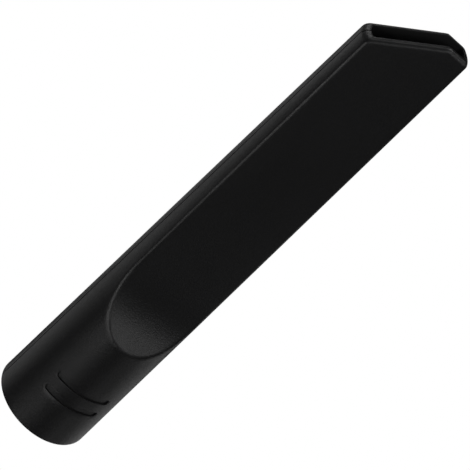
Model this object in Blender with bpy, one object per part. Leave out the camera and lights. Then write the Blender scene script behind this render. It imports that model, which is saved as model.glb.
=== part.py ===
"""Crevice nozzle for a 32 mm vacuum cleaner wand, as its two moulded half shells.

The nozzle stands on the rim of its socket, with the origin at the centre of the rim. +Z runs along
the duct to the mouth, the front half is at -Y, and the long side of the slanted mouth is at +X.
Each outer and inner surface is the same form at its own inset from the outside: a tapered round
tube, pared away front and rear by two scoops that run out into long flats.
"""

from math import asin, atan, cos, pi, radians, sin, sqrt, tan

import bmesh
import bpy

MM = 0.001

# Socket for the wand
BORE_RADIUS_AT_RIM = 16.15 * MM  # takes a 32 mm wand with a little play
BORE_TAPER = 0.0090              # radius lost per length, so that the wand wedges
SOCKET_DEPTH = 40.0 * MM         # rim to the stop rib
STOP_HEIGHT = 2.5 * MM
STOP_STEP = 1.2 * MM             # how far the stop rib stands in from the bore
RIM_ROUND = 0.6 * MM

# Tube and mouth
WALL = 2.1 * MM                  # every wall
RIM_RADIUS = BORE_RADIUS_AT_RIM + WALL
TUBE_TAPER = 0.0170              # radius lost per length along the tube
SHORT_SIDE = 180.6 * MM          # rim to the low side of the mouth, at its left edge
MOUTH_SLANT = radians(32.5)      # the mouth's slope, rising to +X
NOSE_X = 6.3 * MM                # where the slope stops and the blunt nose begins
NOSE_SLANT = radians(-3.5)       # the nose's slope

# Scoops and flats
THROAT_LENGTH = 31.1 * MM        # from the stop rib to where the scoops run out into the flats
SCOOP_TOP = SOCKET_DEPTH + STOP_HEIGHT + THROAT_LENGTH
SCOOP_RADIUS = 37.2 * MM         # the scoop's hollow, seen from the side
FLAT_HALF_AT_SCOOP = 7.2 * MM    # half thickness between the flats at the scoop's top
FLAT_TAPER = 0.0150              # half thickness lost per length along the flats

# Seam between the halves
SEAM_GAP = 0.30 * MM
LIP_WALL = 0.85 * MM             # the front half's inner lip
LIP_HEIGHT = 1.2 * MM            # how far the lip reaches past the middle

# Grip pockets on the front of the socket
POCKET_PITCH = 6.9 * MM
POCKET_HEIGHT = 2.6 * MM
POCKET_LOWEST = 18.5 * MM        # middle of the lower pocket above the rim
POCKET_HALF_WIDTH = 10.2 * MM
POCKET_DEPTH = 0.65 * MM
POCKET_CORNER = 0.9 * MM
POCKET_COUNT = 2

# Facets
TUBE_SIDES = 96
ARC_STEPS = 14
CORNER_STEPS = 4

CLEAR = 5.0 * MM                 # how far a cutter runs past what it cuts


def tube_radius(z):
    """The outside radius of the tube at height z."""
    return RIM_RADIUS - TUBE_TAPER * z


def flat_half(z):
    """Half the thickness between the flats at height z."""
    return FLAT_HALF_AT_SCOOP - FLAT_TAPER * (z - SCOOP_TOP)


# Half the width of a flat where the short side meets the mouth
MOUTH_HALF_WIDTH = sqrt(tube_radius(SHORT_SIDE) ** 2 - flat_half(SHORT_SIDE) ** 2)


def mouth_height(x):
    """The height of the mouth's edge at x."""
    height = SHORT_SIDE + (min(x, NOSE_X) + MOUTH_HALF_WIDTH) * tan(MOUTH_SLANT)
    return height + max(x - NOSE_X, 0.0) * tan(NOSE_SLANT)


TOOL_LENGTH = mouth_height(NOSE_X)
CUTTER_TOP = TOOL_LENGTH + CLEAR


def clear_scene():
    """Remove every object that the file opened with."""
    for item in list(bpy.data.objects):
        bpy.data.objects.remove(item, do_unlink=True)


def plastic(name, colour, roughness):
    """A moulded plastic with a plain colour."""
    material = bpy.data.materials.new(name)
    material.use_nodes = True
    shader = material.node_tree.nodes["Principled BSDF"]
    shader.inputs["Base Color"].default_value = (*colour, 1.0)
    shader.inputs["Roughness"].default_value = roughness
    shader.inputs["Metallic"].default_value = 0.0
    return material


def finish_mesh(name, mesh):
    """Close a bmesh into a new object whose faces point out."""
    bmesh.ops.recalc_face_normals(mesh, faces=mesh.faces)
    data = bpy.data.meshes.new(name)
    mesh.to_mesh(data)
    mesh.free()
    item = bpy.data.objects.new(name, data)
    bpy.context.collection.objects.link(item)
    return item


def turned(name, profile):
    """A solid of revolution about Z from (radius, z) points, with a flat disc at each end."""
    mesh = bmesh.new()
    rings = []
    for radius, z in profile:
        circle = bmesh.ops.create_circle(mesh, segments=TUBE_SIDES, radius=radius)
        bmesh.ops.translate(mesh, verts=circle["verts"], vec=(0.0, 0.0, z))
        rings.append(circle["verts"])
    for lower, upper in zip(rings, rings[1:]):
        for i in range(TUBE_SIDES):
            j = (i + 1) % TUBE_SIDES
            mesh.faces.new((lower[i], lower[j], upper[j], upper[i]))
    mesh.faces.new(rings[0])
    mesh.faces.new(rings[-1])
    return finish_mesh(name, mesh)


def extruded(name, outline, start, step):
    """A prism: the outline's points, each made 3-D by start, pushed along the vector step."""
    mesh = bmesh.new()
    face = mesh.faces.new([mesh.verts.new(start(a, b)) for a, b in outline])
    pushed = bmesh.ops.extrude_face_region(mesh, geom=[face])
    moved = [part for part in pushed["geom"] if isinstance(part, bmesh.types.BMVert)]
    bmesh.ops.translate(mesh, verts=moved, vec=step)
    return finish_mesh(name, mesh)


def block(name, low, high):
    """A box between two corners."""
    outline = [(low[0], low[1]), (high[0], low[1]), (high[0], high[1]), (low[0], high[1])]
    return extruded(name, outline, lambda x, y: (x, y, low[2]), (0.0, 0.0, high[2] - low[2]))


def as_cutter(item):
    """Mark an object that only shapes others."""
    item.hide_render = True
    item.display_type = 'WIRE'
    return item


def shape_with(item, cutter, operation):
    """Cut, keep or join an object by another one, with a live Boolean."""
    modifier = item.modifiers.new(operation.title() + " " + cutter.name, 'BOOLEAN')
    modifier.operation = operation
    modifier.solver = 'EXACT'
    modifier.object = cutter
    return item


def arc(centre, radius, first, last, steps):
    """Points on an arc from one angle to another, ends included."""
    angles = [first + (last - first) * i / steps for i in range(steps + 1)]
    return [(centre[0] + radius * cos(a), centre[1] + radius * sin(a)) for a in angles]


def side_outline(inset):
    """The (y, z) outline between the scoops and flats, at an inset from the outside.

    The scoop's hollow is an arc that meets the flat without a kink, so both halves of the
    outline come from the one arc and the slope of the flat.
    """
    lean = atan(FLAT_TAPER)
    centre = (
        FLAT_HALF_AT_SCOOP + SCOOP_RADIUS * cos(lean),
        SCOOP_TOP + SCOOP_RADIUS * sin(lean),
    )
    radius = SCOOP_RADIUS + inset
    outside = RIM_RADIUS + CLEAR
    drop = asin((centre[0] - outside) / radius)
    scoop = arc(centre, radius, pi + pi / 2 - drop, pi + lean, ARC_STEPS)
    top = CUTTER_TOP + CLEAR
    flat_end = scoop[-1][0] - (top - scoop[-1][1]) * FLAT_TAPER
    right = [(outside, -2 * CLEAR), *scoop, (flat_end, top)]
    left = [(-y, z) for y, z in reversed(right)]
    return right + left


def pared_tube(name, inset, bottom, top):
    """The tapered tube with both scoops and flats, at an inset from the outside."""
    profile = [(tube_radius(z) - inset, z) for z in (bottom, top)]
    return keep_between_flats(turned(name, profile), inset)


def keep_between_flats(item, inset):
    """Pare a tube down to the scoops and flats at an inset."""
    half = RIM_RADIUS + CLEAR
    slab = extruded(
        item.name + "_side_form", side_outline(inset), lambda y, z: (-half, y, z), (2 * half, 0, 0)
    )
    return shape_with(item, as_cutter(slab), 'INTERSECT')


def mouth_cutter():
    """The space past the slanted mouth and its blunt nose."""
    half = RIM_RADIUS + CLEAR
    edge = [(x, mouth_height(x)) for x in (-half, NOSE_X, half)]
    outline = [*edge, (half, CUTTER_TOP + 2 * CLEAR), (-half, CUTTER_TOP + 2 * CLEAR)]
    return as_cutter(extruded("mouth_cutter", outline, lambda x, z: (x, -half, z), (0, 2 * half, 0)))


def duct_cutter():
    """Everything hollow: the wand's socket, the opening in the stop rib and the duct."""
    stop_top = SOCKET_DEPTH + STOP_HEIGHT
    bore_end = BORE_RADIUS_AT_RIM - BORE_TAPER * SOCKET_DEPTH
    duct = pared_tube("duct_cutter", WALL, stop_top, CUTTER_TOP)
    socket = turned(
        "socket_cutter",
        [(BORE_RADIUS_AT_RIM + BORE_TAPER * CLEAR, -CLEAR), (bore_end, SOCKET_DEPTH)],
    )
    stop_radius = bore_end - STOP_STEP
    opening = turned(
        "stop_cutter", [(stop_radius, SOCKET_DEPTH - CLEAR / 2), (stop_radius, stop_top + CLEAR / 2)]
    )
    shape_with(duct, as_cutter(opening), 'UNION')
    shape_with(duct, as_cutter(socket), 'UNION')
    return as_cutter(duct)


def lip_form(name, inset, reach):
    """The inner part of the wall near the seam, from behind the middle to a reach past it."""
    half = RIM_RADIUS + CLEAR
    form = pared_tube(name, inset, -CLEAR, CUTTER_TOP)
    near_seam = block(name + "_reach", (-half, -CLEAR, -2 * CLEAR), (half, reach, CUTTER_TOP + CLEAR))
    return as_cutter(shape_with(form, as_cutter(near_seam), 'INTERSECT'))


def front_keep():
    """The front half's share of the space: all in front of the seam, and the lip past it."""
    half = RIM_RADIUS + CLEAR
    keep = block(
        "front_keep", (-half, -half, -2 * CLEAR), (half, -SEAM_GAP / 2, CUTTER_TOP + 2 * CLEAR)
    )
    return as_cutter(shape_with(keep, lip_form("lip", WALL - LIP_WALL, LIP_HEIGHT), 'UNION'))


def rear_keep():
    """The rear half's share of the space: all behind the seam, less the rebate for the lip."""
    half = RIM_RADIUS + CLEAR
    keep = block(
        "rear_keep", (-half, SEAM_GAP / 2, -2 * CLEAR), (half, half, CUTTER_TOP + 2 * CLEAR)
    )
    rebate = lip_form("rebate", WALL - LIP_WALL - SEAM_GAP, LIP_HEIGHT + SEAM_GAP)
    return as_cutter(shape_with(keep, rebate, 'DIFFERENCE'))


def pocket_outline(middle):
    """A rounded oblong in (x, z), as wide as a grip pocket."""
    across = POCKET_HALF_WIDTH - POCKET_CORNER
    up = POCKET_HEIGHT / 2 - POCKET_CORNER
    corners = [(across, up), (-across, up), (-across, -up), (across, -up)]
    outline = []
    for quarter, (x, z) in enumerate(corners):
        first = quarter * pi / 2
        outline += arc((x, middle + z), POCKET_CORNER, first, first + pi / 2, CORNER_STEPS)
    return outline


def pocket_cutter(index):
    """One grip pocket: the oblong pushed in from the front, down to a floor that follows the tube."""
    middle = POCKET_LOWEST + index * POCKET_PITCH
    half = RIM_RADIUS + CLEAR
    name = f"pocket_{index + 1}"
    pocket = extruded(name, pocket_outline(middle), lambda x, z: (x, -half, z), (0, half, 0))
    ends = (middle - POCKET_HEIGHT, middle + POCKET_HEIGHT)
    floor = turned(name + "_floor", [(tube_radius(z) - POCKET_DEPTH, z) for z in ends])
    return as_cutter(shape_with(pocket, as_cutter(floor), 'DIFFERENCE'))


def outer_form(name):
    """The outside of the nozzle as one solid, with the rim's outer edge rounded."""
    rim = [
        (radius - TUBE_TAPER * RIM_ROUND, z)
        for radius, z in arc((RIM_RADIUS - RIM_ROUND, RIM_ROUND), RIM_ROUND, -pi / 2, 0.0, CORNER_STEPS)
    ]
    tube = turned(name, [*rim, (tube_radius(CUTTER_TOP), CUTTER_TOP)])
    return keep_between_flats(tube, 0.0)


def half_shell(name, keep, duct, mouth, material):
    """One half of the nozzle."""
    shell = outer_form(name)
    shape_with(shell, duct, 'DIFFERENCE')
    shape_with(shell, mouth, 'DIFFERENCE')
    shape_with(shell, keep, 'INTERSECT')
    shell.data.materials.append(material)
    shell.data.shade_smooth()
    shell.data.set_sharp_from_angle(angle=radians(25.0))
    return shell


def front_shell(duct, mouth, material):
    """The front half: scoop, flat, seam lip and grip pockets."""
    shell = half_shell("front_shell", front_keep(), duct, mouth, material)
    for index in range(POCKET_COUNT):
        shape_with(shell, pocket_cutter(index), 'DIFFERENCE')
    return shell


def rear_shell(duct, mouth, material):
    """The rear half: scoop, flat and the rebate that takes the front half's lip."""
    return half_shell("rear_shell", rear_keep(), duct, mouth, material)


def main():
    """Build the nozzle."""
    clear_scene()
    black = plastic("black_polypropylene", (0.012, 0.012, 0.013), 0.45)
    duct = duct_cutter()
    mouth = mouth_cutter()
    front_shell(duct, mouth, black)
    rear_shell(duct, mouth, black)


main()
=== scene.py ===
"""Looks of the crevice nozzle: both moulded half shells, their plastic, and a plain studio.

The nozzle stands on the rim of its socket with the duct along +Z and its front at -Y. Each half
shell is modelled as one closed wall, split at the seam, and rides on the part's only body.
"""

import logging
from collections.abc import Callable
from dataclasses import dataclass, field
from enum import Enum
from math import cos, pi, radians, sin, tan

import bmesh
import bpy
import numpy as np
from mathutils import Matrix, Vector


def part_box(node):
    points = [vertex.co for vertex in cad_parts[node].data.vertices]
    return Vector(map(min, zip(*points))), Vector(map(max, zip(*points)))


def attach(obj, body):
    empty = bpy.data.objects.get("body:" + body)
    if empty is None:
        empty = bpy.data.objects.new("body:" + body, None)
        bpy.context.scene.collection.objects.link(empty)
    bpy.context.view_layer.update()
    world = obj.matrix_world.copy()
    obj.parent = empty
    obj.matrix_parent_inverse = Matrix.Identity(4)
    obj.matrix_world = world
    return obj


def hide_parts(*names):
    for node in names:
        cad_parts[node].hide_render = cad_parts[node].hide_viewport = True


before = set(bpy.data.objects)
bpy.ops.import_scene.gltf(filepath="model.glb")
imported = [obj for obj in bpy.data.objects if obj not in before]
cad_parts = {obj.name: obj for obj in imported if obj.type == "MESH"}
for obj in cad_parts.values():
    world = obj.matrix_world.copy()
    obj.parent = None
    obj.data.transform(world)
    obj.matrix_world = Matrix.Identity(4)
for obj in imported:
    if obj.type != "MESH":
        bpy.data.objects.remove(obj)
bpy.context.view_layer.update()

MM = 0.001
BODY = "root"
SMOOTH_ANGLE = radians(30.0)    # edges sharper than this stay sharp
SLIVER = 0.0005 * MM            # edges shorter than this are left over from cuts
MERGE = 0.002 * MM              # points closer than this are one
WIDE = 30.0 * MM                # half width of the cutting boxes, past the nozzle's sides

log = logging.getLogger("nozzle")


class Half(Enum):
    """The two mouldings, by the sign of the side of the seam that each one is on."""

    FRONT = -1
    REAR = 1


# ---------------------------------------------------------------- mesh helpers


def deselect_all() -> None:
    """Leave object mode with nothing selected and nothing active."""
    if bpy.context.object and bpy.context.object.mode != 'OBJECT':
        bpy.ops.object.mode_set(mode='OBJECT')
    bpy.ops.object.select_all(action='DESELECT')


def make_active(item: bpy.types.Object) -> bpy.types.Object:
    """Select only this object and make it active.

    Args:
        item: the object to work on.

    Returns:
        The same object.
    """
    deselect_all()
    item.select_set(True)
    bpy.context.view_layer.objects.active = item
    return item


def named(name: str) -> bpy.types.Object:
    """Name the object that an operator has just added.

    Args:
        name: the name for the object and its mesh.

    Returns:
        The object.
    """
    item = bpy.context.object
    item.name = name
    item.data.name = name
    return item


def apply_place(item: bpy.types.Object) -> bpy.types.Object:
    """Move an object's place, turn and scale into its mesh.

    Args:
        item: the object to work on.

    Returns:
        The same object.
    """
    make_active(item)
    bpy.ops.object.transform_apply(location=True, rotation=True, scale=True)
    return item


def combine(item: bpy.types.Object, tool: bpy.types.Object, operation: str) -> bpy.types.Object:
    """Cut, keep or join an object by a tool object, which is used up.

    Args:
        item: the object that changes.
        tool: the closed solid that shapes it.
        operation: 'DIFFERENCE', 'INTERSECT' or 'UNION'.

    Returns:
        The changed object.
    """
    make_active(item)
    modifier = item.modifiers.new(operation.title(), 'BOOLEAN')
    modifier.operation = operation
    modifier.solver = 'EXACT'
    modifier.object = tool
    bpy.ops.object.modifier_apply(modifier=modifier.name)
    bpy.data.objects.remove(tool, do_unlink=True)
    return item


def copy_of(item: bpy.types.Object, name: str) -> bpy.types.Object:
    """Copy an object together with its own mesh.

    Args:
        item: the object to copy.
        name: the copy's name.

    Returns:
        The copy.
    """
    twin = item.copy()
    twin.data = item.data.copy()
    twin.name = name
    twin.data.name = name
    bpy.context.collection.objects.link(twin)
    return twin


def box_between(name: str, low: Vector, high: Vector) -> bpy.types.Object:
    """A box between two corners, for cutting.

    Args:
        name: the object's name.
        low: its lowest corner.
        high: its highest corner.

    Returns:
        The box, with its place in its mesh.
    """
    deselect_all()
    bpy.ops.mesh.primitive_cube_add(size=1.0, location=(low + high) / 2)
    item = named(name)
    item.scale = high - low
    return apply_place(item)


def bevel_edges(
    item: bpy.types.Object,
    wanted: Callable[[bmesh.types.BMEdge], bool],
    width: float,
    segments: int,
) -> int:
    """Bevel the edges that a test picks.

    Args:
        item: the object to change.
        wanted: a test of a bmesh edge.
        width: the bevel's width.
        segments: its number of steps.

    Returns:
        How many edges were picked.
    """
    make_active(item)
    bpy.ops.object.mode_set(mode='EDIT')
    bpy.ops.mesh.select_mode(type='EDGE')
    bpy.ops.mesh.select_all(action='DESELECT')
    mesh = bmesh.from_edit_mesh(item.data)
    count = 0
    for edge in mesh.edges:
        if wanted(edge):
            edge.select = True
            count += 1
    mesh.select_flush(True)
    bmesh.update_edit_mesh(item.data)
    if count:
        bpy.ops.mesh.bevel(
            offset=width,
            offset_type='OFFSET',
            segments=segments,
            affect='EDGES',
            clamp_overlap=True,
        )
    bpy.ops.object.mode_set(mode='OBJECT')
    return count


def remove_slivers(item: bpy.types.Object) -> None:
    """Dissolve edges and faces too small to have a size, which cuts leave behind.

    Args:
        item: the object to clean.
    """
    make_active(item)
    bpy.ops.object.mode_set(mode='EDIT')
    bpy.ops.mesh.select_all(action='SELECT')
    bpy.ops.mesh.dissolve_degenerate(threshold=SLIVER)
    bpy.ops.object.mode_set(mode='OBJECT')


def require_closed(item: bpy.types.Object) -> None:
    """Stop if a cut has left an object empty or open.

    Args:
        item: the object to look at.
    """
    mesh = bmesh.new()
    mesh.from_mesh(item.data)
    open_edges = sum(not edge.is_manifold for edge in mesh.edges)
    faces = len(mesh.faces)
    mesh.free()
    if not faces or open_edges:
        raise RuntimeError(f"{item.name}: {faces} faces, {open_edges} open edges")


# ---------------------------------------------------------------- the nozzle's form


@dataclass(frozen=True)
class NozzleForm:
    """The nozzle's surfaces as plain geometry, in metres.

    A depth is how far a surface lies inside the outside of the wall, so the outside is at depth
    0 and the duct at the depth of one wall.
    """

    rim_radius: float
    tube_taper: float = 0.0170
    wall: float = 2.1 * MM
    scoop_radius: float = 37.2 * MM
    scoop_top: float = 73.6 * MM
    flat_half: float = 7.2 * MM
    flat_taper: float = 0.0150
    short_side: float = 180.6 * MM
    mouth_half_width: float = 14.11 * MM
    mouth_slant: float = radians(32.5)
    nose_x: float = 6.3 * MM
    nose_slant: float = radians(-3.5)
    nose_round: float = 0.05 * MM
    crease_round: float = 0.70 * MM
    duct_crease_round: float = 0.50 * MM

    def tube_radius(self, z: np.ndarray, depth: np.ndarray) -> np.ndarray:
        """The tube's radius at a height and depth."""
        return self.rim_radius - self.tube_taper * z - depth

    def crease_radius(self, depth: np.ndarray) -> np.ndarray:
        """How round the edge between tube and flat is at a depth."""
        share = np.clip(depth / self.wall, 0.0, 1.0)
        return self.crease_round + (self.duct_crease_round - self.crease_round) * share

    def scoop_centre(self) -> tuple[float, float, float]:
        """Where the scoop's circle is.

        Returns:
            Its centre's y and z, and the lean of the flat.
        """
        lean = np.arctan(self.flat_taper)
        y = self.flat_half + self.scoop_radius * cos(lean)
        z = self.scoop_top + self.scoop_radius * sin(lean)
        return y, z, lean

    def half_thickness(self, z: np.ndarray, depth: np.ndarray) -> np.ndarray:
        """Half the thickness between the scoops and flats.

        Args:
            z: heights above the rim.
            depth: depths inside the outside.

        Returns:
            The half thicknesses, very large below the scoops.
        """
        centre_y, centre_z, lean = self.scoop_centre()
        radius = self.scoop_radius + depth
        rise = z - centre_z
        inside = np.maximum(radius**2 - rise**2, 0.0)
        scoop = np.where(inside > 0.0, centre_y - np.sqrt(inside), 1.0)
        flat = self.flat_half - (z - self.scoop_top) * self.flat_taper - depth / cos(lean)
        return np.where(rise > -radius * sin(lean), flat, scoop)

    def distance(
        self, x: np.ndarray, y: np.ndarray, z: np.ndarray, depth: np.ndarray
    ) -> np.ndarray:
        """How far points are outside the rounded form at a depth.

        Args:
            x: the points' x.
            y: the points' y.
            z: the points' z.
            depth: the depth of the surface that the distance is from.

        Returns:
            Distances, negative inside.
        """
        centre_y, centre_z, lean = self.scoop_centre()
        tube = np.hypot(x, y) - self.tube_radius(z, depth)
        across, rise = np.abs(y) - centre_y, z - centre_z
        radius = self.scoop_radius + depth
        on_flat = rise * cos(lean) - across * sin(lean) > 0.0
        side = radius + np.where(
            on_flat, across * cos(lean) + rise * sin(lean), -np.hypot(across, rise)
        )
        soft = self.crease_radius(depth)
        both = np.hypot(np.maximum(tube + soft, 0.0), np.maximum(side + soft, 0.0))
        return np.minimum(np.maximum(tube, side), -soft) + both

    def mouth(self, x: np.ndarray) -> tuple[np.ndarray, np.ndarray]:
        """The mouth's line, and how long it is for each unit of x.

        Args:
            x: positions across the mouth.

        Returns:
            Its heights, and the lengths along it per unit of x.
        """
        slope, fall = tan(self.mouth_slant), tan(self.nose_slant)
        corner = self.short_side + (self.nose_x + self.mouth_half_width) * slope
        lift, drop = (x - self.nose_x) * slope, (x - self.nose_x) * fall
        gap = np.hypot((lift - drop) / 2, self.nose_round)
        height = corner + (lift + drop) / 2 - gap
        lean = (slope + fall) / 2 - (lift - drop) / 4 * (slope - fall) / gap
        return height, np.hypot(1.0, lean)


@dataclass(frozen=True)
class Row:
    """One ring of points round the wall.

    Its height is z when share is 0, and the mouth's line less `below` when share is 1.
    """

    z: float
    depth: float = 0.0
    share: float = 0.0
    below: float = 0.0
    radius: float = 0.0


@dataclass
class WallSkin:
    """The wall of the whole nozzle as one closed skin of quads: outside, mouth, duct, socket, rim.

    The columns of quads follow the long crease between tube and flat, which no cut through a
    round tube gives, so each point is put straight onto the rounded form.
    """

    form: NozzleForm
    mouth_round: float = 1.50 * MM
    mouth_inner_round: float = 0.30 * MM
    rim_round: float = 0.60 * MM
    rim_inner_round: float = 0.30 * MM
    bore_radius: float = 16.15 * MM
    bore_taper: float = 0.0090
    socket_depth: float = 40.0 * MM
    stop_height: float = 2.5 * MM
    stop_step: float = 1.2 * MM
    tube_columns: int = 14
    crease_columns: int = 8
    flat_columns: int = 16
    widest_crease: float = radians(80.0)
    straight_top: float = 160.0 * MM
    stop_edge: float = 0.25 * MM
    solver_steps: int = 48
    mouth_steps: int = 8
    on_surface: float = 1e-10

    def outside_rows(self) -> list[Row]:
        """Rings from the rim's flat up the outside to the start of the mouth's edge.

        Returns:
            The rings, closer together where the scoop meets the tube.
        """
        rows = []
        for step in range(6):
            turn = pi / 2 * (1 - step / 5)
            rows.append(
                Row(z=self.rim_round * (1 - sin(turn)), depth=self.rim_round * (1 - cos(turn)))
            )
        heights = [*np.linspace(3.0, 45.0, 15), *np.arange(46.0, 51.0, 0.125)]
        spacing = 0.16
        while heights[-1] + spacing < 80.0:
            heights.append(heights[-1] + spacing)
            spacing = min(spacing * 1.12, 1.4)
        heights += list(np.linspace(81.0, 160.0, 17))
        rows += [Row(z=height * MM) for height in heights]
        steps = 12
        for step in range(1, steps + 1):
            rows.append(Row(z=self.straight_top, share=step / steps, below=self.mouth_round))
        return rows

    def mouth_rows(self) -> list[Row]:
        """Rings over the mouth's rounded edge, its end face and its small inner edge.

        Returns:
            The rings.
        """
        rows = []
        for step in range(1, 8):
            turn = pi / 2 * step / 7
            rows.append(
                Row(
                    z=0.0,
                    depth=self.mouth_round * (1 - cos(turn)),
                    share=1.0,
                    below=self.mouth_round * (1 - sin(turn)),
                )
            )
        for step in range(5):
            turn = pi / 2 * step / 4
            inner = self.mouth_inner_round
            rows.append(
                Row(
                    z=0.0,
                    depth=self.form.wall - inner * (1 - sin(turn)),
                    share=1.0,
                    below=inner * (1 - cos(turn)),
                )
            )
        return rows

    def inside_rows(self) -> list[Row]:
        """Rings down the duct, over the stop rib and down the socket to the rim.

        Returns:
            The rings.
        """
        wall = self.form.wall
        rows = []
        for share in np.linspace(0.9, 0.1, 9):
            rows.append(
                Row(z=self.straight_top, depth=wall, share=share, below=self.mouth_inner_round)
            )
        heights = [
            *np.linspace(160.0, 80.0, 12),
            *np.linspace(77.0, 51.0, 18),
            *np.arange(50.6, 46.0, -0.4),
            44.5,
        ]
        rows += [Row(z=height * MM, depth=wall) for height in heights]
        stop_top = self.socket_depth + self.stop_height
        bore_end = self.bore_radius - self.bore_taper * self.socket_depth
        rows.append(Row(z=stop_top, depth=wall))
        edge = self.stop_edge
        stop = bore_end - self.stop_step
        for turn in (0.0, pi / 4, pi / 2):
            rows.append(
                Row(z=stop_top - edge * (1 - cos(turn)), radius=stop + edge * (1 - sin(turn)))
            )
        for turn in (0.0, pi / 4, pi / 2):
            rows.append(
                Row(
                    z=self.socket_depth + edge * (1 - sin(turn)),
                    radius=stop + edge * (1 - cos(turn)),
                )
            )
        rows.append(Row(z=self.socket_depth, radius=bore_end))
        inner = self.rim_inner_round
        for height in np.linspace(self.socket_depth - 2 * MM, 2 * MM, 12):
            rows.append(Row(z=height, radius=self.bore_radius - self.bore_taper * height))
        for turn in (0.0, pi / 6, pi / 3, pi / 2):
            rows.append(
                Row(z=inner * (1 - sin(turn)), radius=self.bore_radius + inner * (1 - cos(turn)))
            )
        return rows

    def columns(self, z: np.ndarray, depth: np.ndarray) -> np.ndarray:
        """The directions of the columns round a ring.

        Args:
            z: each column's height, or one height for all.
            depth: the ring's depth.

        Returns:
            Angles from +X, for one quarter turn from 0 to 90 degrees.
        """
        form = self.form
        radius = form.tube_radius(z, depth)
        half = np.minimum(form.half_thickness(z, depth), radius * sin(self.widest_crease))
        soft = form.crease_radius(depth)
        middle_y = half - soft
        middle_x = np.sqrt((radius - soft) ** 2 - middle_y**2)
        first = np.arctan2(middle_y, middle_x)
        tube, crease, flat = self.tube_columns, self.crease_columns, self.flat_columns
        index = np.arange(tube + crease + flat + 1)
        on_tube = first * index / tube
        turn = first + (pi / 2 - first) * (index - tube) / crease
        on_crease = np.arctan2(middle_y + soft * np.sin(turn), middle_x + soft * np.cos(turn))
        left = middle_x * (1.0 - (index - tube - crease) / flat)
        on_flat = np.arctan2(half, left)
        return np.where(
            index < tube, on_tube, np.where(index < tube + crease, on_crease, on_flat)
        )

    def ring_angles(self, z: np.ndarray, depth: float) -> np.ndarray:
        """The directions of all the columns, once round.

        Args:
            z: each column's height.
            depth: the ring's depth.

        Returns:
            Angles from +X, from 0 to a full turn, the first column repeated at the end.
        """
        quarter = self.tube_columns + self.crease_columns + self.flat_columns
        parts = []
        for corner in range(4):
            heights = z[corner * quarter: (corner + 1) * quarter + 1]
            if corner % 2:
                angles = self.columns(heights[::-1], depth)[::-1]
                parts.append((corner + 1) * pi / 2 - angles)
            else:
                parts.append(corner * pi / 2 + self.columns(heights, depth))
        return np.concatenate([part[:-1] for part in parts] + [parts[-1][-1:]])

    def ring(self, row: Row) -> np.ndarray:
        """The points of one ring.

        Args:
            row: the ring.

        Returns:
            An array of points.
        """
        form = self.form
        count = 4 * (self.tube_columns + self.crease_columns + self.flat_columns) + 1
        x = np.zeros(count)
        for _ in range(self.mouth_steps if row.share else 1):
            height, length = form.mouth(x)
            z = (1 - row.share) * row.z + row.share * (height - row.below * length)
            angle = self.ring_angles(z, row.depth)
            if row.radius:
                reach = np.full(count, row.radius)
            else:
                near, far = np.zeros(count), form.tube_radius(z, row.depth) + 1.0 * MM
                for _ in range(self.solver_steps):
                    reach = (near + far) / 2
                    outside = form.distance(
                        reach * np.cos(angle), reach * np.sin(angle), z, row.depth
                    ) > self.on_surface
                    near, far = np.where(outside, near, reach), np.where(outside, reach, far)
            x = reach * np.cos(angle)
        return np.stack([x, reach * np.sin(angle), z], axis=1)

    def build(self, name: str) -> bpy.types.Object:
        """Lay the skin out of a grid and close it along both of its joins.

        Args:
            name: the object's name.

        Returns:
            The closed wall.
        """
        rows = self.outside_rows() + self.mouth_rows() + self.inside_rows()
        rings = [self.ring(row) for row in rows]
        rings.append(rings[0])
        return skin_of_rings(name, rings)


def skin_of_rings(name: str, rings: list[np.ndarray]) -> bpy.types.Object:
    """A skin of quads through rings of points, merged where its ends meet.

    Args:
        name: the object's name.
        rings: rings with the same number of points.

    Returns:
        The object, with its faces pointing out.
    """
    deselect_all()
    bpy.ops.mesh.primitive_grid_add(
        x_subdivisions=len(rings[0]) - 1, y_subdivisions=len(rings) - 1, size=1.0
    )
    item = named(name)
    item.data.vertices.foreach_set("co", np.concatenate(rings).astype(np.float32).ravel())
    bpy.ops.object.mode_set(mode='EDIT')
    bpy.ops.mesh.select_all(action='SELECT')
    bpy.ops.mesh.remove_doubles(threshold=MERGE)
    bpy.ops.mesh.normals_make_consistent(inside=False)
    bpy.ops.object.mode_set(mode='OBJECT')
    return item


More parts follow.
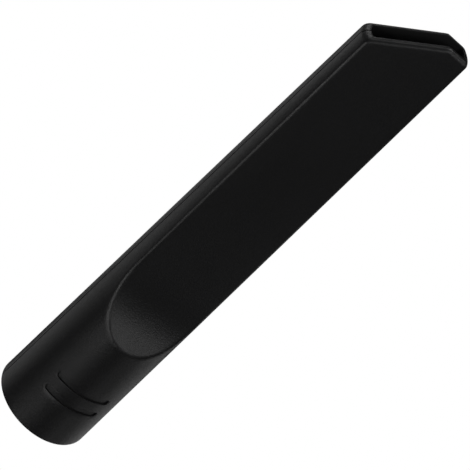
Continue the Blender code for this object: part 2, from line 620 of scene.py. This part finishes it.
@dataclass
class SeamJoint:
    """The seam between the halves: a groove outside, and a lip lapped into a rebate inside."""

    form: NozzleForm
    groove: float = 0.48 * MM
    gap: float = 0.30 * MM
    lip_wall: float = 0.85 * MM
    lip_height: float = 1.20 * MM
    edge_round: float = 0.16 * MM
    mouth_margin: float = 2.1 * MM
    lip_end: float = 0.6 * MM
    reach: float = 240.0 * MM
    foot: float = -10.0 * MM
    apart: float = 1.0 * MM
    rim_margin: float = 1.0 * MM
    sharp: float = radians(40.0)

    def lap(self, name: str, depth: float, height: float, below: float) -> bpy.types.Object:
        """The inner share of the wall near the seam, ending short of the mouth.

        Args:
            name: the object's name.
            depth: how far inside the outside its surface lies.
            height: how far behind the seam it goes.
            below: how far below the mouth it ends.

        Returns:
            A closed solid.
        """
        skin = WallSkin(self.form)
        heights = [-3.0, 20.0, 44.0, *np.linspace(46.0, 78.0, 60), 120.0, 160.0, 205.0]
        rings = [skin.ring(Row(z=height * MM, depth=depth)) for height in heights]
        item = skin_of_rings(name, rings)
        bpy.ops.object.mode_set(mode='EDIT')
        bpy.ops.mesh.select_all(action='DESELECT')
        bpy.ops.mesh.select_non_manifold()
        bpy.ops.mesh.fill_holes(sides=0)
        bpy.ops.mesh.select_all(action='SELECT')
        bpy.ops.mesh.normals_make_consistent(inside=False)
        bpy.ops.object.mode_set(mode='OBJECT')
        low = Vector((-WIDE, -5.0 * MM, self.foot))
        span = box_between(name + "_span", low, Vector((WIDE, height, self.reach)))
        combine(item, span, 'INTERSECT')
        for side in (-1, 1):
            edge = side * self.form.mouth_half_width
            top = float(self.form.mouth(edge)[0]) - below
            near, far = sorted((side * self.apart, side * WIDE))
            low, high = Vector((near, -WIDE, top)), Vector((far, WIDE, self.reach))
            combine(item, box_between(f"{name}_end", low, high), 'DIFFERENCE')
        return item

    def share(self, half: Half) -> bpy.types.Object:
        """The space on one half's side of the seam.

        Args:
            half: which moulding.

        Returns:
            A closed solid that keeps that half of the wall.
        """
        face = self.groove / 2
        if half is Half.FRONT:
            low, high = Vector((-WIDE, -WIDE, self.foot)), Vector((WIDE, -face, self.reach))
            space = box_between("front_space", low, high)
            lip = self.lap(
                "lip", self.form.wall - self.lip_wall, self.lip_height, self.lip_end
            )
            return combine(space, lip, 'UNION')
        low, high = Vector((-WIDE, face, self.foot)), Vector((WIDE, WIDE, self.reach))
        space = box_between("rear_space", low, high)
        rebate = self.lap(
            "rebate",
            self.form.wall - self.lip_wall - self.gap,
            self.lip_height + self.gap,
            self.lip_end - self.gap,
        )
        return combine(space, rebate, 'DIFFERENCE')

    def soften(self, shell: bpy.types.Object, half: Half) -> None:
        """Round the shell's outer edges along the seam.

        Args:
            shell: one half of the wall.
            half: which moulding.
        """
        level = half.value * self.groove / 2
        form, margin = self.form, self.mouth_margin

        def on_seam(edge: bmesh.types.BMEdge) -> bool:
            """Find where the outside meets the seam's face.

            Args:
                edge: an edge of the shell.

            Returns:
                Whether the edge is there.
            """
            for vert in edge.verts:
                x, y, z = vert.co
                if abs(y - level) > MERGE:
                    return False
                if z < self.rim_margin or z > form.mouth(x)[0] - margin:
                    return False
                if abs(np.hypot(x, y) - form.tube_radius(z, 0.0)) > 0.02 * MM:
                    return False
            return edge.calc_face_angle(0.0) > self.sharp

        found = bevel_edges(shell, on_seam, self.edge_round, 3)
        log.info("%s: %d seam edges rounded", shell.name, found)


@dataclass
class GripPockets:
    """The shallow rounded grooves across the front of the socket, for the fingers."""

    form: NozzleForm
    lowest: float = 18.5 * MM
    pitch: float = 6.9 * MM
    count: int = 2
    half_width: float = 10.2 * MM
    height: float = 2.6 * MM
    depth: float = 0.65 * MM
    corner: float = 0.9 * MM
    edge_round: float = 0.09 * MM

    def cutter(self, index: int) -> bpy.types.Object:
        """The space of one groove, with a floor that follows the tube.

        Args:
            index: which groove, counted from the rim.

        Returns:
            A closed solid.
        """
        middle = self.lowest + index * self.pitch
        low = Vector((-self.half_width, -30.0 * MM, middle - self.height / 2))
        high = Vector((self.half_width, -5.0 * MM, middle + self.height / 2))
        block = box_between(f"groove_{index + 1}", low, high)
        bevel_edges(
            block,
            lambda edge: abs((edge.verts[0].co - edge.verts[1].co).y) > 1.0 * MM,
            self.corner,
            8,
        )
        deselect_all()
        radius = float(self.form.tube_radius(middle, self.depth))
        slope = self.form.tube_taper * self.height
        bpy.ops.mesh.primitive_cone_add(
            vertices=360,
            radius1=radius + slope,
            radius2=radius - slope,
            depth=2 * self.height,
            location=(0.0, 0.0, middle),
        )
        core = apply_place(named("groove_floor"))
        return combine(block, core, 'DIFFERENCE')

    def cut(self, shell: bpy.types.Object) -> None:
        """Cut every groove and soften its edges.

        Args:
            shell: the front half of the wall.
        """
        for index in range(self.count):
            combine(shell, self.cutter(index), 'DIFFERENCE')
        top = self.lowest + (self.count - 1) * self.pitch + self.height
        bottom = self.lowest - self.height
        form = self.form

        def on_rim(edge: bmesh.types.BMEdge) -> bool:
            """Find where a groove meets the outside.

            Args:
                edge: an edge of the shell.

            Returns:
                Whether the edge is there.
            """
            for vert in edge.verts:
                x, y, z = vert.co
                if not (bottom < z < top and y < 0.0 and abs(x) < self.half_width + 0.1 * MM):
                    return False
                if abs(np.hypot(x, y) - form.tube_radius(z, 0.0)) > 0.05 * MM:
                    return False
            return edge.calc_face_angle(0.0) > radians(30.0)

        found = bevel_edges(shell, on_rim, self.edge_round, 2)
        log.info("%s: %d groove edges rounded", shell.name, found)


# ---------------------------------------------------------------- finishes


class NodeTree:
    """A small helper that adds and joins shader nodes."""

    def __init__(self, tree: bpy.types.NodeTree) -> None:
        """Work on one tree.

        Args:
            tree: the tree that nodes are added to.
        """
        self.tree = tree
        self.column = 0

    def add(self, kind: str, **settings: object) -> bpy.types.Node:
        """Add a node.

        Args:
            kind: the node's type.
            settings: its properties.

        Returns:
            The node.
        """
        node = self.tree.nodes.new(kind)
        node.location = (self.column * 180 - 1200, 0)
        self.column += 1
        for key, value in settings.items():
            setattr(node, key, value)
        return node

    def join(self, source: bpy.types.NodeSocket, target: bpy.types.NodeSocket) -> None:
        """Join an output to an input."""
        self.tree.links.new(source, target)

    def math(
        self,
        operation: str,
        first: bpy.types.NodeSocket | float,
        second: bpy.types.NodeSocket | float,
    ) -> bpy.types.NodeSocket:
        """Add a Math node whose inputs are sockets or numbers.

        Args:
            operation: the node's operation.
            first: the first input.
            second: the second input.

        Returns:
            The node's output.
        """
        node = self.add('ShaderNodeMath', operation=operation)
        for socket, value in zip(node.inputs, (first, second)):
            if isinstance(value, bpy.types.NodeSocket):
                self.join(value, socket)
            else:
                socket.default_value = value
        return node.outputs[0]


def new_group(
    name: str, inputs: dict[str, float], outputs: list[str]
) -> tuple[bpy.types.NodeTree, NodeTree, bpy.types.Node, bpy.types.Node]:
    """Start a shader node group with float sockets.

    Args:
        name: the group's name.
        inputs: its inputs and their values.
        outputs: its outputs.

    Returns:
        The group, its helper, its input node and its output node.
    """
    group = bpy.data.node_groups.new(name, 'ShaderNodeTree')
    for key, value in inputs.items():
        socket = group.interface.new_socket(key, in_out='INPUT', socket_type='NodeSocketFloat')
        socket.default_value = value
    for key in outputs:
        group.interface.new_socket(key, in_out='OUTPUT', socket_type='NodeSocketFloat')
    nodes = NodeTree(group)
    return group, nodes, nodes.add('NodeGroupInput'), nodes.add('NodeGroupOutput')


def spark_grain() -> bpy.types.NodeTree:
    """The fine pitted grain that a spark-eroded mould leaves on plastic.

    Returns:
        The node group.
    """
    group, nodes, given, out = new_group(
        "Spark grain", {"Size": 0.35 * MM, "Fine Share": 0.5}, ["Height", "Mask"]
    )
    place = nodes.add('ShaderNodeTexCoord')
    scale = nodes.math('DIVIDE', 1.0, given.outputs["Size"])
    coarse = nodes.add('ShaderNodeTexNoise', noise_dimensions='3D')
    coarse.inputs["Detail"].default_value = 2.0
    coarse.inputs["Roughness"].default_value = 0.6
    nodes.join(place.outputs["Object"], coarse.inputs["Vector"])
    nodes.join(scale, coarse.inputs["Scale"])
    fine = nodes.add('ShaderNodeTexVoronoi', feature='SMOOTH_F1')
    nodes.join(place.outputs["Object"], fine.inputs["Vector"])
    nodes.join(nodes.math('MULTIPLY', scale, 1.7), fine.inputs["Scale"])
    pits = nodes.math('MULTIPLY', fine.outputs["Distance"], given.outputs["Fine Share"])
    nodes.join(nodes.math('ADD', coarse.outputs["Fac"], pits), out.inputs["Height"])
    nodes.join(coarse.outputs["Fac"], out.inputs["Mask"])
    return group


def flow_shade() -> bpy.types.NodeTree:
    """Slow changes along a moulding, from the flow of the melt and from handling.

    Returns:
        The node group.
    """
    group, nodes, given, out = new_group("Flow shade", {"Size": 30.0 * MM}, ["Mask"])
    place = nodes.add('ShaderNodeTexCoord')
    stretch = nodes.add('ShaderNodeMapping')
    stretch.inputs["Scale"].default_value = (1.0, 1.0, 0.35)
    nodes.join(place.outputs["Object"], stretch.inputs["Vector"])
    cloud = nodes.add('ShaderNodeTexNoise', noise_dimensions='3D')
    cloud.inputs["Detail"].default_value = 3.0
    nodes.join(stretch.outputs["Vector"], cloud.inputs["Vector"])
    nodes.join(nodes.math('DIVIDE', 1.0, given.outputs["Size"]), cloud.inputs["Scale"])
    nodes.join(cloud.outputs["Fac"], out.inputs["Mask"])
    return group


def duct_dullness_and_painted_shade(form: NozzleForm) -> bpy.types.NodeTree:
    """Where the wall's inner face is, above the scoops, which the mould's core leaves duller than
    the outside; the mask also darkens the colour there as painted shade of the duct's inside.

    Args:
        form: the nozzle's surfaces.

    Returns:
        The node group.
    """
    group, nodes, given, out = new_group(
        "Duct dullness and painted shade",
        {"Depth": form.wall - 0.10 * MM, "Fade": 0.08 * MM, "Rise": 16.0 * MM},
        ["Mask"],
    )
    place = nodes.add('ShaderNodeTexCoord')
    split = nodes.add('ShaderNodeSeparateXYZ')
    nodes.join(place.outputs["Object"], split.inputs[0])
    x, y, z = split.outputs
    squares = nodes.math('MULTIPLY', x, x), nodes.math('MULTIPLY', y, y)
    reach = nodes.math('POWER', nodes.math('ADD', *squares), 0.5)
    tube = nodes.math('SUBTRACT', form.rim_radius, nodes.math('MULTIPLY', z, form.tube_taper))
    from_tube = nodes.math('SUBTRACT', tube, reach)
    foot = form.flat_half + form.scoop_top * form.flat_taper
    flat = nodes.math('SUBTRACT', foot, nodes.math('MULTIPLY', z, form.flat_taper))
    from_flat = nodes.math('SUBTRACT', flat, nodes.math('ABSOLUTE', y, 0.0))
    depth = nodes.math('SUBTRACT', nodes.math('MINIMUM', from_tube, from_flat),
                       given.outputs["Depth"])
    inside = nodes.math('DIVIDE', depth, given.outputs["Fade"])
    above = nodes.math(
        'DIVIDE', nodes.math('SUBTRACT', z, form.scoop_top), given.outputs["Rise"]
    )
    parts = [nodes.math('MAXIMUM', nodes.math('MINIMUM', part, 1.0), 0.0)
             for part in (inside, above)]
    # This mask makes the duct rougher, and also darkens its colour as painted shade.
    nodes.join(nodes.math('MULTIPLY', *parts), out.inputs["Mask"])
    return group


@dataclass(frozen=True)
class MouldedPlastic:
    """Black moulded polypropylene with a fine grain, and painted shade darkening the duct's inner
    face.
    """

    name: str
    dark: tuple[float, float, float] = (0.0080, 0.0080, 0.0084)
    light: tuple[float, float, float] = (0.0120, 0.0120, 0.0125)
    roughness: float = 0.40
    roughness_spread: float = 0.05
    grain_size: float = 0.62 * MM
    grain_height: float = 0.055 * MM
    gloss: float = 0.5
    # the colour that the duct's inner face is darkened to: painted shade of the inside of the duct
    duct_painted_shade_colour: tuple[float, float, float] = (0.0030, 0.0030, 0.0032)
    duct_roughness: float = 0.85
    mask_range: tuple[float, float] = (0.10, 0.40)

    def build(
        self, grain: bpy.types.NodeTree, flow: bpy.types.NodeTree, duct: bpy.types.NodeTree
    ) -> bpy.types.Material:
        """Make the material.

        Args:
            grain: the grain's node group.
            flow: the slow shade's node group.
            duct: the node group of the duct's mask, for its dullness and its painted shade.

        Returns:
            The material.
        """
        material = bpy.data.materials.new(self.name)
        material.use_nodes = True
        nodes = NodeTree(material.node_tree)
        shader = material.node_tree.nodes["Principled BSDF"]
        shader.inputs["Metallic"].default_value = 0.0
        shader.inputs["Specular IOR Level"].default_value = self.gloss
        texture = nodes.add('ShaderNodeGroup', node_tree=grain)
        texture.inputs["Size"].default_value = self.grain_size
        shade = nodes.add('ShaderNodeGroup', node_tree=flow)
        tint = nodes.add('ShaderNodeMix', data_type='RGBA')
        tint.inputs["A"].default_value = (*self.dark, 1.0)
        tint.inputs["B"].default_value = (*self.light, 1.0)
        nodes.join(shade.outputs["Mask"], tint.inputs["Factor"])
        # The duct's inner face is made rougher and darkened in colour; the darkening is painted
        # shade.
        inner = nodes.add('ShaderNodeGroup', node_tree=duct)
        colour = nodes.add('ShaderNodeMix', data_type='RGBA')
        nodes.join(inner.outputs["Mask"], colour.inputs["Factor"])
        nodes.join(tint.outputs["Result"], colour.inputs["A"])
        colour.inputs["B"].default_value = (*self.duct_painted_shade_colour, 1.0)
        nodes.join(colour.outputs["Result"], shader.inputs["Base Color"])
        both = nodes.math('MULTIPLY', texture.outputs["Mask"], shade.outputs["Mask"])
        spread = nodes.add('ShaderNodeMapRange')
        spread.inputs["From Min"].default_value, spread.inputs["From Max"].default_value = (
            self.mask_range
        )
        spread.inputs["To Min"].default_value = self.roughness - self.roughness_spread
        spread.inputs["To Max"].default_value = self.roughness + self.roughness_spread
        nodes.join(both, spread.inputs["Value"])
        dull = nodes.add('ShaderNodeMix', data_type='FLOAT')
        nodes.join(inner.outputs["Mask"], dull.inputs["Factor"])
        nodes.join(spread.outputs["Result"], dull.inputs["A"])
        dull.inputs["B"].default_value = self.duct_roughness
        nodes.join(dull.outputs["Result"], shader.inputs["Roughness"])
        bump = nodes.add('ShaderNodeBump')
        bump.inputs["Strength"].default_value = 1.0
        bump.inputs["Distance"].default_value = self.grain_height
        nodes.join(texture.outputs["Height"], bump.inputs["Height"])
        nodes.join(bump.outputs["Normal"], shader.inputs["Normal"])
        return material


# ---------------------------------------------------------------- the nozzle


@dataclass
class Nozzle:
    """Both half shells of the crevice nozzle."""

    form: NozzleForm
    shells: list[bpy.types.Object] = field(default_factory=list)

    def build(self) -> None:
        """Model the wall once, then keep each half's share of it."""
        wall = WallSkin(self.form).build("wall")
        seam = SeamJoint(self.form)
        for half in Half:
            name = half.name.lower()
            shell = copy_of(wall, f"{name}_moulding")
            combine(shell, seam.share(half), 'INTERSECT')
            seam.soften(shell, half)
            if half is Half.FRONT:
                GripPockets(self.form).cut(shell)
            remove_slivers(shell)
            require_closed(shell)
            make_active(shell)
            bpy.ops.object.shade_smooth_by_angle(angle=SMOOTH_ANGLE)
            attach(shell, BODY)
            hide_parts(f"{name}_shell")
            self.shells.append(shell)
            log.info("%s: %d faces", shell.name, len(shell.data.polygons))
        bpy.data.objects.remove(wall, do_unlink=True)

    def dress(self) -> None:
        """Give both shells their plastic."""
        groups = spark_grain(), flow_shade(), duct_dullness_and_painted_shade(self.form)
        for shell, name in zip(self.shells, ("front black plastic", "rear black plastic")):
            shell.data.materials.clear()
            shell.data.materials.append(MouldedPlastic(name).build(*groups))


# ---------------------------------------------------------------- the studio


@dataclass(frozen=True)
class SoftLight:
    """A round soft light that faces the nozzle's middle from a place on a large sphere."""

    name: str
    turn: float
    rise: float
    power: float
    size: float = 0.34
    reach: float = 1.0
    aim: float = 0.1

    def build(self) -> None:
        """Add the light, turned from the front towards +X and raised, both in degrees."""
        deselect_all()
        turn, rise = radians(self.turn), radians(self.rise)
        way = Vector((sin(turn) * cos(rise), -cos(turn) * cos(rise), sin(rise)))
        bpy.ops.object.light_add(
            type='AREA',
            location=way * self.reach + Vector((0.0, 0.0, self.aim)),
            rotation=(-way).to_track_quat('-Z', 'Y').to_euler(),
        )
        item = named(self.name)
        item.visible_camera = False
        item.data.shape = 'DISK'
        item.data.size = self.size
        item.data.energy = self.power


@dataclass
class Studio:
    """A plain pale floor, soft lights and the camera."""

    camera_place: tuple[float, float, float] = (-0.18032, -0.41539, 0.33856)
    camera_turn: tuple[float, float, float] = (0.916275, -0.695849, 0.039326)
    lens: float = 123.29
    sensor: float = 36.0
    lights: tuple[SoftLight, ...] = (
        SoftLight("front left low", 315.0, -65.0, 0.446),
        SoftLight("front right low", 51.0, -45.0, 0.169),
        SoftLight("right low", 103.0, -45.0, 0.145),
        SoftLight("back right low", 129.0, -45.0, 0.184),
        SoftLight("back left low", 206.0, -45.0, 0.102),
        SoftLight("back left low 2", 231.0, -45.0, 0.135),
        SoftLight("front right lowish", 30.0, -27.0, 0.046),
        SoftLight("right lowish", 75.0, -27.0, 0.244),
        SoftLight("right lowish 2", 105.0, -27.0, 0.189),
        SoftLight("back lowish", 180.0, -27.0, 0.089),
        SoftLight("back left lowish", 210.0, -27.0, 0.083),
        SoftLight("back left lowish 2", 225.0, -27.0, 0.109),
        SoftLight("left lowish", 255.0, -27.0, 0.091),
        SoftLight("front left lowish", 330.0, -27.0, 0.222),
        SoftLight("back level", 198.0, -9.0, 0.151),
        SoftLight("back left level", 216.0, -9.0, 0.227),
        SoftLight("front left level", 306.0, -9.0, 1.221),
        SoftLight("front left level 2", 324.0, -9.0, 0.425),
        SoftLight("front level", 342.0, -9.0, 0.624),
        SoftLight("front raised", 0.0, 27.0, 0.456),
        SoftLight("front raised 2", 20.0, 27.0, 0.513),
        SoftLight("front right high", 26.0, 45.0, 0.632),
        SoftLight("left high", 252.0, 63.0, 0.633),
        SoftLight("right high", 90.0, 80.0, 1.867),
        SoftLight("back right level", 144.0, -9.0, 0.600),
        SoftLight("back raised", 200.0, 27.0, 0.600),
        SoftLight("right raised", 80.0, 27.0, 0.600),
        SoftLight("back right level 2", 126.0, -9.0, 0.400),
    )

    def add_camera(self) -> None:
        """Add the camera."""
        deselect_all()
        bpy.ops.object.camera_add()
        item = named("camera")
        item.location = self.camera_place
        item.rotation_euler = self.camera_turn
        item.data.lens = self.lens
        item.data.sensor_width = self.sensor
        item.data.clip_start = 0.01
        bpy.context.scene.camera = item

    def add_floor(self) -> None:
        """Add the floor, which is seen but neither shades nor lights the nozzle."""
        deselect_all()
        bpy.ops.mesh.primitive_plane_add(size=12.0, location=(0.0, 0.0, -0.4 * MM))
        floor = named("floor")
        material = bpy.data.materials.new("pale floor")
        material.use_nodes = True
        nodes = NodeTree(material.node_tree)
        material.node_tree.nodes.remove(material.node_tree.nodes["Principled BSDF"])
        glow = nodes.add('ShaderNodeEmission')
        glow.inputs["Color"].default_value = (1.0, 1.0, 1.0, 1.0)
        nodes.join(glow.outputs[0], material.node_tree.nodes["Material Output"].inputs["Surface"])
        floor.data.materials.append(material)
        floor.visible_diffuse = False
        floor.visible_glossy = False
        floor.visible_transmission = False
        floor.visible_shadow = False

    def add_surround(self) -> None:
        """Make the world white to the camera and dark to everything else."""
        world = bpy.data.worlds.new("studio")
        world.use_nodes = True
        nodes = NodeTree(world.node_tree)
        seen = world.node_tree.nodes["Background"]
        seen.inputs["Color"].default_value = (1.0, 1.0, 1.0, 1.0)
        path = nodes.add('ShaderNodeLightPath')
        nodes.join(path.outputs["Is Camera Ray"], seen.inputs["Strength"])
        bpy.context.scene.world = world

    def build(self) -> None:
        """Build the whole studio."""
        self.add_camera()
        self.add_floor()
        self.add_surround()
        for light in self.lights:
            light.build()
        bpy.context.scene.view_settings.view_transform = 'Standard'


def main() -> None:
    """Build the nozzle, its plastic and the studio, in that order."""
    logging.basicConfig(level=logging.INFO, format="%(name)s: %(message)s")
    low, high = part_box("front_shell")
    nozzle = Nozzle(NozzleForm(rim_radius=(high[0] - low[0]) / 2))
    nozzle.build()
    nozzle.dress()
    Studio().build()


if __name__ == "__main__":
    main()
